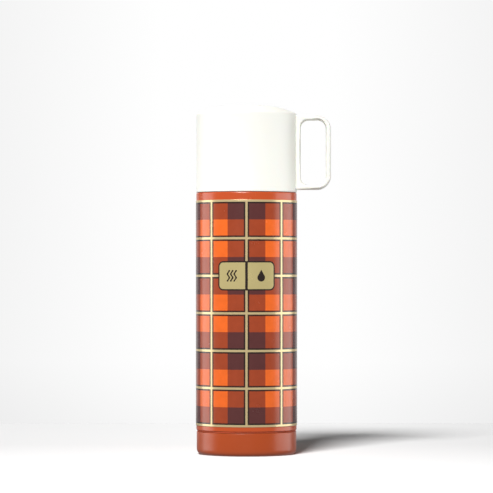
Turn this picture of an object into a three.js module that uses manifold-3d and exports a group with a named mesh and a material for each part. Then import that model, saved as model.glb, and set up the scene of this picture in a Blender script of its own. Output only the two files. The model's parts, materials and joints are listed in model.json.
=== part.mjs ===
// Retro vacuum flask: screw-on drinking cup with a ring handle, screw stopper, collar,
// printed steel case, glass vacuum filler and screw-on base. Millimetres, +Z up.
// The origin is on the flask's axis, at the underside of the base.
import * as THREE from 'three';
import { mergeVertices } from 'three/addons/utils/BufferGeometryUtils.js';
import Module from 'manifold-3d';

const wasm = await Module();
wasm.setup();

// ---- Driving dimensions -------------------------------------------------------------

// Clearances
const GAP = 0.3; // between pieces that touch or are glued
const THREAD_GAP = 0.45; // radial, crest of one thread to root of the other
const GLASS_GAP = 0.5; // between glass and the soft pieces that hold it

// Outer heights, from the bottom up
const BASE_HEIGHT = 16.9;
const SEAM_HEIGHT = 1.2; // groove between base and case
const SEAM_DEPTH = 0.4;
const CASE_HEIGHT = 175.1;
const CUP_HEIGHT = 63.6;

// Outer diameters: the borders, cup and base step in a little from the case
const CASE_DIAMETER = 75;
const BORDER_STEP = 0.35;
const BASE_STEP = 0.65;

// Case
const CASE_WALL = 0.6;
const LOWER_BORDER = 3.5;
const UPPER_BORDER = 5.85;
const CASE_EDGE_ROUND = 1.6;
const CASE_LIP_WIDTH = 1.9; // turned-in lip that the collar bears on

// Base cup and the threaded ring in the case that it screws into
const BASE_FLOOR = 2.5;
const BASE_WALL = 2.4;
const BASE_ROUND = 4.5;
const BASE_FILLET = 2; // inside, at the floor
const SPIGOT_FOOT = 3; // from the base's top edge down to where its wall thickens
const BASE_SPIGOT_HEIGHT = 11.6;
const BASE_SPIGOT_WALL = 1.5;
const BASE_RING_HEIGHT = 12.2;
const BASE_RING_WALL = 0.95;
const BASE_RING_LAG = 0.2; // turns by which the ring's thread starts before the spigot's
const BASE_LEAD = 4;
const BASE_TURNS = 1.5;

// Glass filler: two blown vessels, one inside the other
const GLASS_WALL = 1.2;
const VACUUM_SPACE = 2.6;
const FILLER_CLEARANCE = 3.3; // filler to the inside of the case
const FILLER_BOTTOM = 12;
const FILLER_BOTTOM_DEPTH = 28;
const SHOULDER_HEIGHT = 22;
const NECK_BORE = 28;
const NECK_SPACE = 2.1;
const NECK_LENGTH = 10;
const LIP_HEIGHT = 1.5;
const TIP_RADIUS = 2.5;
const TIP_LENGTH = 5;
const TIP_CAP_WALL = 1.5;
const TIP_CAP_TOP = 0.7; // below the filler's lowest point

// Soft pieces round the filler
const SLEEVE_WALL = 2.2;
const SLEEVE_LIFT = 4; // above the filler's bottom curve
const SLEEVE_OVERLAP = 5; // past the start of the filler's shoulder
const CUSHION_RADIUS = 21;
const CUSHION_FACETS = 3;
const CUSHION_HOLE = 6.5;
const PAD_WIDTH = 8;
const NECK_SEAL_HEIGHT = 1.7;
const SPACER_RADIUS = 4;
const SPACER_COUNT = 3;
const SPACER_GIVE = 0.25; // how much shorter a pad is than its gap
const SPACER_LIFT = 20; // above the filler's bottom curve

// Collar
const COLLAR_FLANGE = 1.2;
const COLLAR_SEAL = 0.8;
const COLLAR_WALL = 2;
const COLLAR_NECK_HEIGHT = 11.8; // above the case's top edge
const DECK_THICKNESS = 2;
const LEDGE_DEPTH = 1.9; // from the deck's underside to the ledge's top
const LEDGE_CLEARANCE = 3.4; // round the stopper's plug
const LEDGE_THICKNESS = 1.8;
const SPOUT_BORE = 45.2;
const SPOUT_WALL = 2;
const SPOUT_RISE = 5.5; // above the deck
const SPOUT_BEVEL = 0.6;

// Stopper
const STOPPER_LEAD = 4;
const STOPPER_TURNS = 1.1;
const PLUG_CLEARANCE = 0.8;
const PLUG_LENGTH = 9; // into the glass neck
const STOPPER_WALL = 1.8;
const PLUG_BEVEL = 1.2;
const STOPPER_SEAL = 1.6;
const STOPPER_SEAL_INSET = 2.6; // from the spout's bore
const GRIP_OVERHANG = 1.2; // past the stopper's threaded wall
const GRIP_HEIGHT = 10.4;
const GRIP_BEVEL = 1;
const GRIP_TOP = 3; // thickness of its crown
const GRIP_FLUTES = 12;
const FLUTE_DEPTH = 0.9;

// Cup
const CUP_LEAD = 6;
const CUP_TURNS = 1.2;
const CUP_WALL = 2.25;
const CUP_THREAD_BAND = 12.5; // thicker wall that holds the thread
const CUP_THREAD_STEP = 1;
const CUP_TOP = 2;
const CUP_DOME_DROP = 6.7; // from the flat top to the straight wall
const CUP_DOME_POWER = 1.6; // higher for a dome that stays flat for longer
const CUP_SHOULDER_WIDTH = 1.2;
const CUP_SHOULDER_HEIGHT = 1.9;
const CUP_FLAT_RADIUS = 18.5;
const LINER_WALL = 1.2;
const LINER_AIR = 1.3; // between the tops of liner and shell

// Cup handle: a closed ring in the plane through the axis
const HANDLE_REACH = 25.35; // from the cup wall
const HANDLE_LIFT = 1.6; // above the cup's rim
const HANDLE_DROP = 6.9; // below the cup's top
const HANDLE_DEPTH = 17;
const HANDLE_ROOT = 2; // how far the ring is drawn into the cup before it is trimmed
const HANDLE_INNER_BAR = 2.9;
const HANDLE_OUTER_BAR = 3.7;
const HANDLE_TOP_BAR = 3.2;
const HANDLE_BOTTOM_BAR = 3.7;
const HANDLE_OUTER_ROUND = 10;
const HANDLE_INNER_ROUND = 6.2;
const HANDLE_EDGE_ROUND = 1.4;

// Threads
const THREAD_DEPTH = 0.95;
const FIRST_RIDGE = 1.9; // above the edge that a large thread starts from
const FIRST_SMALL_RIDGE = 1.3; // above the stopper's seal
const ROOT_SHARE = 0.46; // of the lead
const CREST_SHARE = 0.25;
const SUNK = 0.45; // how far a ridge reaches into its wall

// How finely round shapes are cut
const ROUND = 32;
const ROUND_GLASS = 24;
const ROUND_SMALL = 20;
const DOME_STEPS = 4;
const THREAD_STEPS = 24; // in each turn

// ---- Derived places -----------------------------------------------------------------

const caseRadius = CASE_DIAMETER / 2;
const borderRadius = caseRadius - BORDER_STEP;
const baseRadius = caseRadius - BASE_STEP;
const caseBottom = BASE_HEIGHT + SEAM_HEIGHT;
const caseTop = caseBottom + CASE_HEIGHT;
const caseInside = borderRadius - CASE_WALL;
const lipRadius = caseInside - CASE_LIP_WIDTH;
const cupRim = caseTop + GAP;
const cupTop = cupRim + CUP_HEIGHT;

const ringWallInside = caseInside - GAP - BASE_RING_WALL;
const spigotRadius = ringWallInside - THREAD_GAP - THREAD_DEPTH;

const fillerRadius = caseInside + BORDER_STEP - FILLER_CLEARANCE;
const glassCentre = FILLER_BOTTOM + FILLER_BOTTOM_DEPTH;
const innerGlassRadius = fillerRadius - GLASS_WALL - VACUUM_SPACE;

const collarTop = caseTop + COLLAR_NECK_HEIGHT;
const collarFlangeTop = caseTop - CASE_WALL - COLLAR_SEAL - 2 * GAP;
const collarFlangeBottom = collarFlangeTop - COLLAR_FLANGE;
const spoutBore = SPOUT_BORE / 2;
const spoutRadius = spoutBore + SPOUT_WALL;
const spoutTop = collarTop + SPOUT_RISE;
const ledgeTop = collarTop - DECK_THICKNESS - LEDGE_DEPTH;
const ledgeBottom = ledgeTop - LEDGE_THICKNESS;

const lipTop = ledgeBottom - NECK_SEAL_HEIGHT - 2 * GAP;
const lipBottom = lipTop - LIP_HEIGHT;
const outerNeckTop = lipBottom - GAP;
const shoulderTop = lipTop - NECK_LENGTH;
const shoulderBottom = shoulderTop - SHOULDER_HEIGHT;
const neckBore = NECK_BORE / 2;
const innerNeckRadius = neckBore + GLASS_WALL;
const outerNeckBore = innerNeckRadius + NECK_SPACE;
const outerNeckRadius = outerNeckBore + GLASS_WALL;

const cupRadius = borderRadius;
const cupInside = cupRadius - CUP_WALL;
const cupThreadWall = cupInside - CUP_THREAD_STEP;
const cupThreadMinor = cupThreadWall - THREAD_DEPTH;
const collarNeckRadius = cupThreadMinor - THREAD_GAP;
const linerRadius = cupThreadMinor - GAP;
const linerBottom = cupRim + CUP_THREAD_BAND + GAP;

const plugRadius = neckBore - PLUG_CLEARANCE;
const plugBottom = lipTop - PLUG_LENGTH;
const sealTop = ledgeTop + GAP + STOPPER_SEAL;
const stopperRadius = spoutBore - THREAD_GAP - THREAD_DEPTH;
const stopperTop = spoutTop + GAP;
const gripBottom = stopperTop + GAP;
const gripRadius = stopperRadius + GRIP_OVERHANG;

// ---- Building blocks ----------------------------------------------------------------

const FULL_TURN = Math.PI * 2;
const at = (r, z) => new THREE.Vector2(r, z);

// Points of a quarter of an ellipse or less, centred on (r, z), angles in degrees.
function arc(r, z, width, height, from, to, steps) {
  const points = [];
  for (let i = 0; i <= steps; i++) {
    const angle = THREE.MathUtils.degToRad(from + ((to - from) * i) / steps);
    points.push(at(r + width * Math.cos(angle), z + height * Math.sin(angle)));
  }
  return points;
}

function signedVolume(geometry) {
  const { array } = geometry.getAttribute('position');
  const order = geometry.index.array;
  const [a, b, c] = [new THREE.Vector3(), new THREE.Vector3(), new THREE.Vector3()];
  let volume = 0;
  for (let i = 0; i < order.length; i += 3) {
    a.fromArray(array, 3 * order[i]);
    b.fromArray(array, 3 * order[i + 1]);
    c.fromArray(array, 3 * order[i + 2]);
    volume += a.dot(b.cross(c)) / 6;
  }
  return volume;
}

// Merges a geometry's shared corners and turns its faces outward.
function closed(geometry) {
  const bare = geometry.clone();
  bare.deleteAttribute('normal');
  bare.deleteAttribute('uv');
  const merged = mergeVertices(bare, 1e-4);
  const order = Array.from(merged.index.array);
  const faces = [];
  for (let i = 0; i < order.length; i += 3) {
    const [a, b, c] = order.slice(i, i + 3);
    if (a !== b && b !== c && a !== c) faces.push(a, b, c);
  }
  merged.setIndex(faces);
  if (signedVolume(merged) < 0) merged.setIndex(faces.reverse());
  return merged;
}

// A profile of (radius, height) points turned round the Z axis. A ring's profile closes
// on itself; any other starts and ends on the axis.
function turned(profile, segments, isRing = false) {
  const points = isRing ? [...profile, profile[0].clone()] : profile;
  const lathe = new THREE.LatheGeometry(points, segments);
  lathe.rotateX(Math.PI / 2);
  return closed(lathe);
}

const ring = (profile, segments) => turned(profile, segments, true);
const band = (inner, outer, bottom, top, segments) =>
  ring([at(inner, bottom), at(outer, bottom), at(outer, top), at(inner, top)], segments);

function toSolid(geometry) {
  const clean = closed(geometry);
  const vertProperties = new Float32Array(clean.getAttribute('position').array);
  const triVerts = new Uint32Array(clean.index.array);
  return new wasm.Manifold(new wasm.Mesh({ numProp: 3, vertProperties, triVerts }));
}

function toGeometry(solid) {
  const mesh = solid.getMesh();
  const geometry = new THREE.BufferGeometry();
  geometry.setAttribute('position', new THREE.BufferAttribute(mesh.vertProperties, 3));
  geometry.setIndex(Array.from(mesh.triVerts));
  return geometry;
}

const joined = (a, b) => toGeometry(toSolid(a).add(toSolid(b)));
const cut = (a, b) => toGeometry(toSolid(a).subtract(toSolid(b)));

// One right-handed screw ridge. wall is the radius it stands on, and side is +1 for a
// ridge that stands outward and -1 for one that stands inward. z is its middle's height
// where the helix crosses the XZ plane, and it runs between the two counts of turns.
function screwRidge({ wall, side, z, lead, from, to }) {
  const steps = Math.round((to - from) * THREAD_STEPS);
  const root = (lead * ROOT_SHARE) / 2;
  const crest = (lead * CREST_SHARE) / 2;
  // An inward crest is cut from chords that lie outside its circle.
  const outward = side < 0 ? Math.cos(Math.PI / THREAD_STEPS) : 1;
  const crestRadius = (wall + side * THREAD_DEPTH) / outward;
  const section = [
    [wall - side * SUNK, -root],
    [crestRadius, -crest],
    [crestRadius, crest],
    [wall - side * SUNK, root],
  ];
  const positions = [];
  for (let i = 0; i <= steps; i++) {
    const turns = from + ((to - from) * i) / steps;
    const angle = turns * FULL_TURN;
    for (const [r, dz] of section) {
      positions.push(r * Math.cos(angle), r * Math.sin(angle), z + dz + lead * turns);
    }
  }
  const n = section.length;
  const faces = [];
  for (let i = 0; i < steps; i++) {
    for (let k = 0; k < n; k++) {
      const a = i * n + k;
      const b = i * n + ((k + 1) % n);
      faces.push(a, b, a + n, b, b + n, a + n);
    }
  }
  for (let k = 1; k < n - 1; k++) {
    faces.push(0, k + 1, k);
    faces.push(steps * n, steps * n + k, steps * n + k + 1);
  }
  const geometry = new THREE.BufferGeometry();
  geometry.setAttribute('position', new THREE.Float32BufferAttribute(positions, 3));
  geometry.setIndex(faces);
  return closed(geometry);
}

function piece(name, geometry, material) {
  const mesh = new THREE.Mesh(geometry, material);
  mesh.name = name;
  return mesh;
}

const finish = (color, roughness, metalness = 0) =>
  new THREE.MeshStandardMaterial({ color, roughness, metalness });

const ivoryPlastic = finish(0xeeeee4, 0.4);
const orangePlastic = finish(0xb85130, 0.42);
const printedSteel = finish(0xc85c36, 0.4, 0.1);
const blackRubber = finish(0x26231f, 0.8);
const redRubber = finish(0x7a3020, 0.8);
const greyRubber = finish(0x6f6a62, 0.8);
const silveredGlass = finish(0xc9d0d0, 0.08, 0.6);
const whiteFoam = finish(0xe8e2d2, 0.9);
const board = finish(0xa98a5e, 0.95);
const ceramicFibre = finish(0xd8d0c2, 0.9);
const redPlastic = finish(0xb0452a, 0.4);

// ---- Base ---------------------------------------------------------------------------

const spigotTop = BASE_HEIGHT + BASE_SPIGOT_HEIGHT;
const spigotInside = spigotRadius - BASE_SPIGOT_WALL;
const baseThread = { z: caseBottom + FIRST_RIDGE, lead: BASE_LEAD };

function baseCup() {
  const inside = baseRadius - BASE_WALL;
  const foot = BASE_HEIGHT - SPIGOT_FOOT;
  const cup = turned(
    [
      at(0, 0),
      ...arc(baseRadius - BASE_ROUND, BASE_ROUND, BASE_ROUND, BASE_ROUND, -90, 0, 4),
      at(baseRadius, BASE_HEIGHT),
      at(spigotRadius, BASE_HEIGHT),
      at(spigotRadius, spigotTop),
      at(spigotInside, spigotTop),
      at(spigotInside, foot),
      at(inside, foot - BASE_FILLET),
      at(inside, BASE_FLOOR + BASE_FILLET),
      at(inside - BASE_FILLET, BASE_FLOOR),
      at(0, BASE_FLOOR),
    ],
    ROUND,
  );
  const thread = screwRidge({
    ...baseThread, wall: spigotRadius, side: 1, from: 0, to: BASE_TURNS,
  });
  return piece('base_cup', joined(cup, thread), orangePlastic);
}

function baseSeal() {
  const bottom = BASE_HEIGHT + GAP;
  const top = caseBottom - GAP;
  const geometry = band(spigotRadius + GAP, baseRadius - SEAM_DEPTH, bottom, top, ROUND);
  return piece('base_seal_ring', geometry, redRubber);
}

// Height of the filler's rounded bottom at a radius.
function fillerBottomAt(r) {
  return glassCentre - FILLER_BOTTOM_DEPTH * Math.sqrt(1 - (r / fillerRadius) ** 2);
}

function baseCushion() {
  const floor = BASE_FLOOR + GAP;
  const profile = [at(CUSHION_HOLE, floor), at(CUSHION_RADIUS, floor)];
  for (let i = 0; i <= CUSHION_FACETS; i++) {
    const r = CUSHION_RADIUS - ((CUSHION_RADIUS - CUSHION_HOLE) * i) / CUSHION_FACETS;
    profile.push(at(r, fillerBottomAt(r) - GLASS_GAP));
  }
  return piece('base_cushion', ring(profile, ROUND_SMALL), greyRubber);
}

// ---- Case ---------------------------------------------------------------------------

function caseTube() {
  const lowerEdge = caseBottom + LOWER_BORDER;
  const upperEdge = caseTop - UPPER_BORDER;
  const round = CASE_EDGE_ROUND;
  const profile = [
    at(borderRadius, caseBottom),
    at(borderRadius, lowerEdge),
    at(caseRadius, lowerEdge + BORDER_STEP),
    at(caseRadius, upperEdge - BORDER_STEP),
    at(borderRadius, upperEdge),
    ...arc(borderRadius - round, caseTop - round, round, round, 0, 90, 3),
    at(lipRadius, caseTop),
    at(lipRadius, caseTop - CASE_WALL),
    at(caseInside - 1, caseTop - CASE_WALL),
    at(caseInside, caseTop - CASE_WALL - 1),
    at(caseInside, upperEdge - BORDER_STEP),
    at(caseInside + BORDER_STEP, upperEdge - 2 * BORDER_STEP),
    at(caseInside + BORDER_STEP, lowerEdge + 2 * BORDER_STEP),
    at(caseInside, lowerEdge + BORDER_STEP),
    at(caseInside, caseBottom),
  ];
  return piece('case_tube', ring(profile, ROUND), printedSteel);
}

function caseBaseRing() {
  const bottom = caseBottom + GAP;
  const tube = band(ringWallInside, caseInside - GAP, bottom, bottom + BASE_RING_HEIGHT, ROUND);
  const z = baseThread.z + BASE_LEAD / 2;
  const from = -BASE_RING_LAG;
  const to = BASE_TURNS - BASE_RING_LAG;
  const thread = screwRidge({ ...baseThread, z, wall: ringWallInside, side: -1, from, to });
  return piece('case_base_ring', joined(tube, thread), blackRubber);
}

const collarThread = { z: caseTop + FIRST_RIDGE, lead: CUP_LEAD };
const spoutThread = { z: sealTop + FIRST_SMALL_RIDGE, lead: STOPPER_LEAD };

function collar() {
  const flangeRadius = caseInside - GAP;
  const bore = collarNeckRadius - COLLAR_WALL;
  const deckBottom = collarTop - DECK_THICKNESS;
  const hole = plugRadius + LEDGE_CLEARANCE;
  const body = ring(
    [
      at(flangeRadius, collarFlangeBottom),
      at(flangeRadius, collarFlangeTop),
      at(collarNeckRadius, collarFlangeTop),
      at(collarNeckRadius, collarTop),
      at(spoutRadius, collarTop),
      at(spoutRadius, spoutTop - SPOUT_BEVEL),
      at(spoutRadius - SPOUT_BEVEL, spoutTop),
      at(spoutBore, spoutTop),
      at(spoutBore, ledgeTop),
      at(hole, ledgeTop),
      at(hole, ledgeBottom),
      at(spoutRadius, ledgeBottom),
      at(spoutRadius, deckBottom),
      at(bore, deckBottom),
      at(bore, collarFlangeBottom),
    ],
    ROUND,
  );
  const forCup = screwRidge({
    ...collarThread, wall: collarNeckRadius, side: 1, from: 0, to: CUP_TURNS,
  });
  const z = spoutThread.z - STOPPER_LEAD / 2;
  const forStopper = screwRidge({
    ...spoutThread, z, wall: spoutBore, side: -1, from: 0.1, to: STOPPER_TURNS + 0.1,
  });
  return piece('collar', joined(joined(body, forCup), forStopper), ivoryPlastic);
}

function collarSeal() {
  const bottom = collarFlangeTop + GAP;
  const geometry = band(lipRadius - 0.5, caseInside - 1, bottom, bottom + COLLAR_SEAL, ROUND);
  return piece('collar_seal', geometry, blackRubber);
}

// ---- Glass filler -------------------------------------------------------------------

function glassOuter() {
  const wall = GLASS_WALL;
  const inside = fillerRadius - wall;
  const depth = FILLER_BOTTOM_DEPTH;
  const tipBottom = FILLER_BOTTOM - TIP_LENGTH;
  const tipTop = fillerBottomAt(TIP_RADIUS);
  const tipEnd = THREE.MathUtils.radToDeg(Math.acos((TIP_RADIUS + GLASS_GAP) / fillerRadius));
  const shoulder = fillerRadius - outerNeckRadius;
  const bottomOutside = arc(0, glassCentre, fillerRadius, depth, -tipEnd, 0, 5);
  const bottomInside = arc(0, glassCentre, inside, depth - wall, 0, -90, 5);
  const profile = [
    at(0, tipBottom),
    at(TIP_RADIUS * 0.6, tipBottom + 0.6),
    at(TIP_RADIUS, tipTop),
    ...bottomOutside,
    ...arc(outerNeckRadius, shoulderBottom, shoulder, SHOULDER_HEIGHT, 0, 90, 4),
    at(outerNeckRadius, outerNeckTop),
    at(outerNeckBore, outerNeckTop),
    ...arc(outerNeckBore, shoulderBottom, shoulder, SHOULDER_HEIGHT - wall, 90, 0, 4),
    ...bottomInside,
  ];
  return piece('glass_outer_vessel', turned(profile, ROUND_GLASS), silveredGlass);
}

function glassInner() {
  const wall = GLASS_WALL;
  const inside = innerGlassRadius - wall;
  const depth = FILLER_BOTTOM_DEPTH - wall - VACUUM_SPACE;
  const rise = SHOULDER_HEIGHT - wall - VACUUM_SPACE;
  const shoulder = innerGlassRadius - innerNeckRadius;
  const profile = [
    ...arc(0, glassCentre, innerGlassRadius, depth, -90, 0, 5),
    ...arc(innerNeckRadius, shoulderBottom, shoulder, rise, 0, 90, 4),
    at(innerNeckRadius, lipBottom),
    at(outerNeckRadius, lipBottom),
    at(outerNeckRadius, lipTop),
    at(neckBore, lipTop),
    ...arc(neckBore, shoulderBottom, shoulder, rise - wall, 90, 0, 4),
    ...arc(0, glassCentre, inside, depth - wall, 0, -90, 5),
  ];
  return piece('glass_inner_vessel', turned(profile, ROUND_GLASS), silveredGlass);
}

function spacers() {
  const inner = innerGlassRadius + GAP;
  const outer = fillerRadius - GLASS_WALL - GAP;
  const reach = Math.sqrt(outer ** 2 - SPACER_RADIUS ** 2) - inner - SPACER_GIVE;
  const pads = [];
  for (let i = 0; i < SPACER_COUNT; i++) {
    const pad = new THREE.CylinderGeometry(SPACER_RADIUS, SPACER_RADIUS, reach, 12);
    pad.rotateZ(Math.PI / 2);
    pad.translate(inner + reach / 2, 0, glassCentre + SPACER_LIFT);
    pad.rotateZ((i * FULL_TURN) / SPACER_COUNT);
    pads.push(piece(`glass_spacer_pad_${i + 1}`, closed(pad), ceramicFibre));
  }
  return pads;
}

function tipCap() {
  const inside = TIP_RADIUS + GAP;
  const outside = inside + TIP_CAP_WALL;
  const top = FILLER_BOTTOM - TIP_CAP_TOP;
  const floor = FILLER_BOTTOM - TIP_LENGTH - GAP;
  const bottom = floor - TIP_CAP_WALL;
  const bevel = TIP_CAP_WALL / 2;
  const profile = [
    at(0, bottom),
    at(outside - bevel, bottom),
    at(outside, bottom + bevel),
    at(outside, top),
    at(inside, top),
    at(inside, floor),
    at(0, floor),
  ];
  return piece('glass_tip_cap', turned(profile, 16), blackRubber);
}

function insulatingSleeve() {
  const outer = caseInside + BORDER_STEP - GAP;
  const bottom = glassCentre + SLEEVE_LIFT;
  const top = shoulderBottom + SLEEVE_OVERLAP;
  const geometry = band(outer - SLEEVE_WALL, outer, bottom, top, ROUND_GLASS);
  return piece('insulating_sleeve', geometry, board);
}

// Foam ring between the filler's shoulder and the collar's flange.
function shoulderPad() {
  const outer = caseInside - GAP;
  const inner = outer - PAD_WIDTH;
  const reach = (inner - outerNeckRadius) / (fillerRadius - outerNeckRadius);
  const bottom = shoulderBottom + SHOULDER_HEIGHT * Math.sqrt(1 - reach ** 2) + GLASS_GAP;
  const geometry = band(inner, outer, bottom, collarFlangeBottom - GAP, ROUND_GLASS);
  return piece('shoulder_pad', geometry, whiteFoam);
}

function neckSeal() {
  const bottom = lipTop + GAP;
  const outer = outerNeckRadius + 1;
  const inner = neckBore + GLASS_GAP;
  const geometry = band(inner, outer, bottom, bottom + NECK_SEAL_HEIGHT, ROUND_SMALL);
  return piece('neck_seal', geometry, greyRubber);
}

// ---- Stopper ------------------------------------------------------------------------

function stopperBody() {
  const well = plugRadius - STOPPER_WALL;
  const bowl = stopperRadius - STOPPER_WALL;
  const body = turned(
    [
      at(0, plugBottom),
      at(plugRadius - PLUG_BEVEL, plugBottom),
      at(plugRadius, plugBottom + PLUG_BEVEL),
      at(plugRadius, sealTop + GAP),
      at(stopperRadius, sealTop + GAP),
      at(stopperRadius, stopperTop),
      at(bowl, stopperTop),
      at(bowl, sealTop + GAP + STOPPER_WALL),
      at(well, sealTop + GAP + STOPPER_WALL),
      at(well, plugBottom + STOPPER_WALL),
      at(0, plugBottom + STOPPER_WALL),
    ],
    ROUND,
  );
  const thread = screwRidge({
    ...spoutThread, wall: stopperRadius, side: 1, from: 0, to: STOPPER_TURNS,
  });
  return piece('stopper_body', joined(body, thread), redPlastic);
}

function stopperFoam() {
  const well = plugRadius - STOPPER_WALL - GAP;
  const bowl = stopperRadius - STOPPER_WALL - GAP;
  const floor = plugBottom + STOPPER_WALL + GAP;
  const step = sealTop + 2 * GAP + STOPPER_WALL;
  const top = stopperTop - GAP;
  const profile = [
    at(0, floor), at(well, floor), at(well, step), at(bowl, step), at(bowl, top), at(0, top),
  ];
  return piece('stopper_foam_core', turned(profile, ROUND_SMALL), whiteFoam);
}

function stopperSeal() {
  const outer = spoutBore - STOPPER_SEAL_INSET;
  const geometry = band(plugRadius + GAP, outer, ledgeTop + GAP, sealTop, ROUND_SMALL);
  return piece('stopper_seal', geometry, blackRubber);
}

function flutedOutline() {
  const outline = new THREE.Shape();
  const corners = GRIP_FLUTES * 4;
  for (let i = 0; i < corners; i++) {
    const angle = (i * FULL_TURN) / corners;
    const r = gripRadius - (FLUTE_DEPTH * (1 - Math.cos(GRIP_FLUTES * angle))) / 2;
    if (i === 0) outline.moveTo(r, 0);
    else outline.lineTo(r * Math.cos(angle), r * Math.sin(angle));
  }
  outline.closePath();
  return outline;
}

// Fluted cap, open below, on the rim of the stopper's body.
function stopperGrip() {
  const block = new THREE.ExtrudeGeometry(flutedOutline(), {
    depth: GRIP_HEIGHT - GRIP_BEVEL,
    bevelThickness: GRIP_BEVEL,
    bevelSize: GRIP_BEVEL,
    bevelOffset: -GRIP_BEVEL,
    bevelSegments: 1,
  });
  block.translate(0, 0, gripBottom);
  const inside = stopperRadius - STOPPER_WALL;
  const under = gripBottom - 2 * GRIP_BEVEL;
  const crown = gripBottom + GRIP_HEIGHT - GRIP_TOP;
  const clear = 2 * gripRadius;
  const hollow = turned([
    at(0, under), at(clear, under), at(clear, gripBottom),
    at(inside, gripBottom), at(inside, crown), at(0, crown),
  ], ROUND_SMALL);
  return piece('stopper_grip', cut(block, hollow), redPlastic);
}

// ---- Cup ----------------------------------------------------------------------------

// Points over the cup's dome, from the flat top outward, dropped by an inset.
function dome(inset, edge) {
  const wallTop = cupTop - CUP_DOME_DROP - inset;
  const shoulder = edge - CUP_SHOULDER_WIDTH;
  const width = CUP_SHOULDER_WIDTH;
  const height = CUP_SHOULDER_HEIGHT;
  const points = [];
  for (let i = 0; i <= DOME_STEPS; i++) {
    const share = i / DOME_STEPS;
    const drop = (CUP_DOME_DROP - height) * share ** CUP_DOME_POWER;
    const r = CUP_FLAT_RADIUS + (shoulder - CUP_FLAT_RADIUS) * share;
    points.push(at(r, cupTop - inset - drop));
  }
  return [...points, ...arc(shoulder, wallTop, width, height, 45, 0, 1)];
}

function cupShell() {
  const bandTop = cupRim + CUP_THREAD_BAND;
  const shell = turned(
    [
      at(0, cupTop),
      ...dome(0, cupRadius),
      at(cupRadius, cupRim),
      at(cupThreadWall, cupRim),
      at(cupThreadWall, bandTop - 1),
      at(cupInside, bandTop),
      ...dome(CUP_TOP, cupInside).reverse(),
      at(0, cupTop - CUP_TOP),
    ],
    ROUND,
  );
  const z = collarThread.z - CUP_LEAD / 2;
  const thread = screwRidge({
    ...collarThread, z, wall: cupThreadWall, side: -1, from: 0.55, to: CUP_TURNS + 0.45,
  });
  return piece('cup_shell', joined(shell, thread), ivoryPlastic);
}

function cupLiner() {
  const inset = CUP_TOP + LINER_AIR;
  const flange = cupInside - GAP;
  const profile = [
    at(0, cupTop - inset),
    ...dome(inset, linerRadius),
    at(linerRadius, linerBottom + LINER_WALL),
    at(flange, linerBottom + LINER_WALL),
    at(flange, linerBottom),
    at(linerRadius - LINER_WALL, linerBottom),
    ...dome(inset + LINER_WALL, linerRadius - LINER_WALL).reverse(),
    at(0, cupTop - inset - LINER_WALL),
  ];
  return piece('cup_liner', turned(profile, ROUND_GLASS), ivoryPlastic);
}

// A rectangle with rounded corners, as a closed path.
function roundedFrame(path, left, bottom, right, top, radius) {
  path.moveTo(left + radius, bottom);
  path.lineTo(right - radius, bottom);
  path.absarc(right - radius, bottom + radius, radius, -Math.PI / 2, 0);
  path.lineTo(right, top - radius);
  path.absarc(right - radius, top - radius, radius, 0, Math.PI / 2);
  path.lineTo(left + radius, top);
  path.absarc(left + radius, top - radius, radius, Math.PI / 2, Math.PI);
  path.lineTo(left, bottom + radius);
  path.absarc(left + radius, bottom + radius, radius, Math.PI, 1.5 * Math.PI);
  path.closePath();
  return path;
}

// The ring's outside: round at the free corners, its top and bottom bars running into the cup
function barsFromWall(path, left, bottom, right, top, radius) {
  path.moveTo(left, bottom);
  path.lineTo(right - radius, bottom);
  path.absarc(right - radius, bottom + radius, radius, -Math.PI / 2, 0);
  path.lineTo(right, top - radius);
  path.absarc(right - radius, top - radius, radius, 0, Math.PI / 2);
  path.lineTo(left, top);
  path.closePath();
  return path;
}

function cupHandle() {
  const bottom = cupRim + HANDLE_LIFT;
  const top = cupTop - HANDLE_DROP;
  const right = cupRadius + HANDLE_REACH;
  const left = cupRadius - HANDLE_ROOT;
  const holeLeft = cupRadius + HANDLE_INNER_BAR;
  const outline = barsFromWall(new THREE.Shape(), left, bottom, right, top, HANDLE_OUTER_ROUND);
  outline.holes.push(
    roundedFrame(
      new THREE.Path(), holeLeft, bottom + HANDLE_BOTTOM_BAR,
      right - HANDLE_OUTER_BAR, top - HANDLE_TOP_BAR, HANDLE_INNER_ROUND,
    ),
  );
  const loop = new THREE.ExtrudeGeometry(outline, {
    depth: HANDLE_DEPTH - 2 * HANDLE_EDGE_ROUND,
    curveSegments: 4,
    bevelThickness: HANDLE_EDGE_ROUND,
    bevelSize: HANDLE_EDGE_ROUND,
    bevelOffset: -HANDLE_EDGE_ROUND,
    bevelSegments: 2,
  });
  loop.rotateX(Math.PI / 2);
  loop.translate(0, HANDLE_DEPTH / 2 - HANDLE_EDGE_ROUND, 0);
  const wall = cupRadius + GAP;
  const cup = turned([at(0, cupRim), at(wall, cupRim), at(wall, cupTop), at(0, cupTop)], ROUND);
  return piece('cup_handle', cut(loop, cup), ivoryPlastic);
}

// ---- Assembly -----------------------------------------------------------------------

function assembly(...pieces) {
  const group = new THREE.Group();
  group.add(...pieces);
  return group;
}

const flask = assembly(
  assembly(baseCup(), baseSeal(), baseCushion()),
  assembly(
    glassOuter(), glassInner(), ...spacers(), tipCap(),
    insulatingSleeve(), shoulderPad(), neckSeal(),
  ),
  assembly(caseTube(), caseBaseRing(), collar(), collarSeal()),
  assembly(stopperBody(), stopperGrip(), stopperFoam(), stopperSeal()),
  assembly(cupShell(), cupLiner(), cupHandle()),
);

export default flask;
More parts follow.
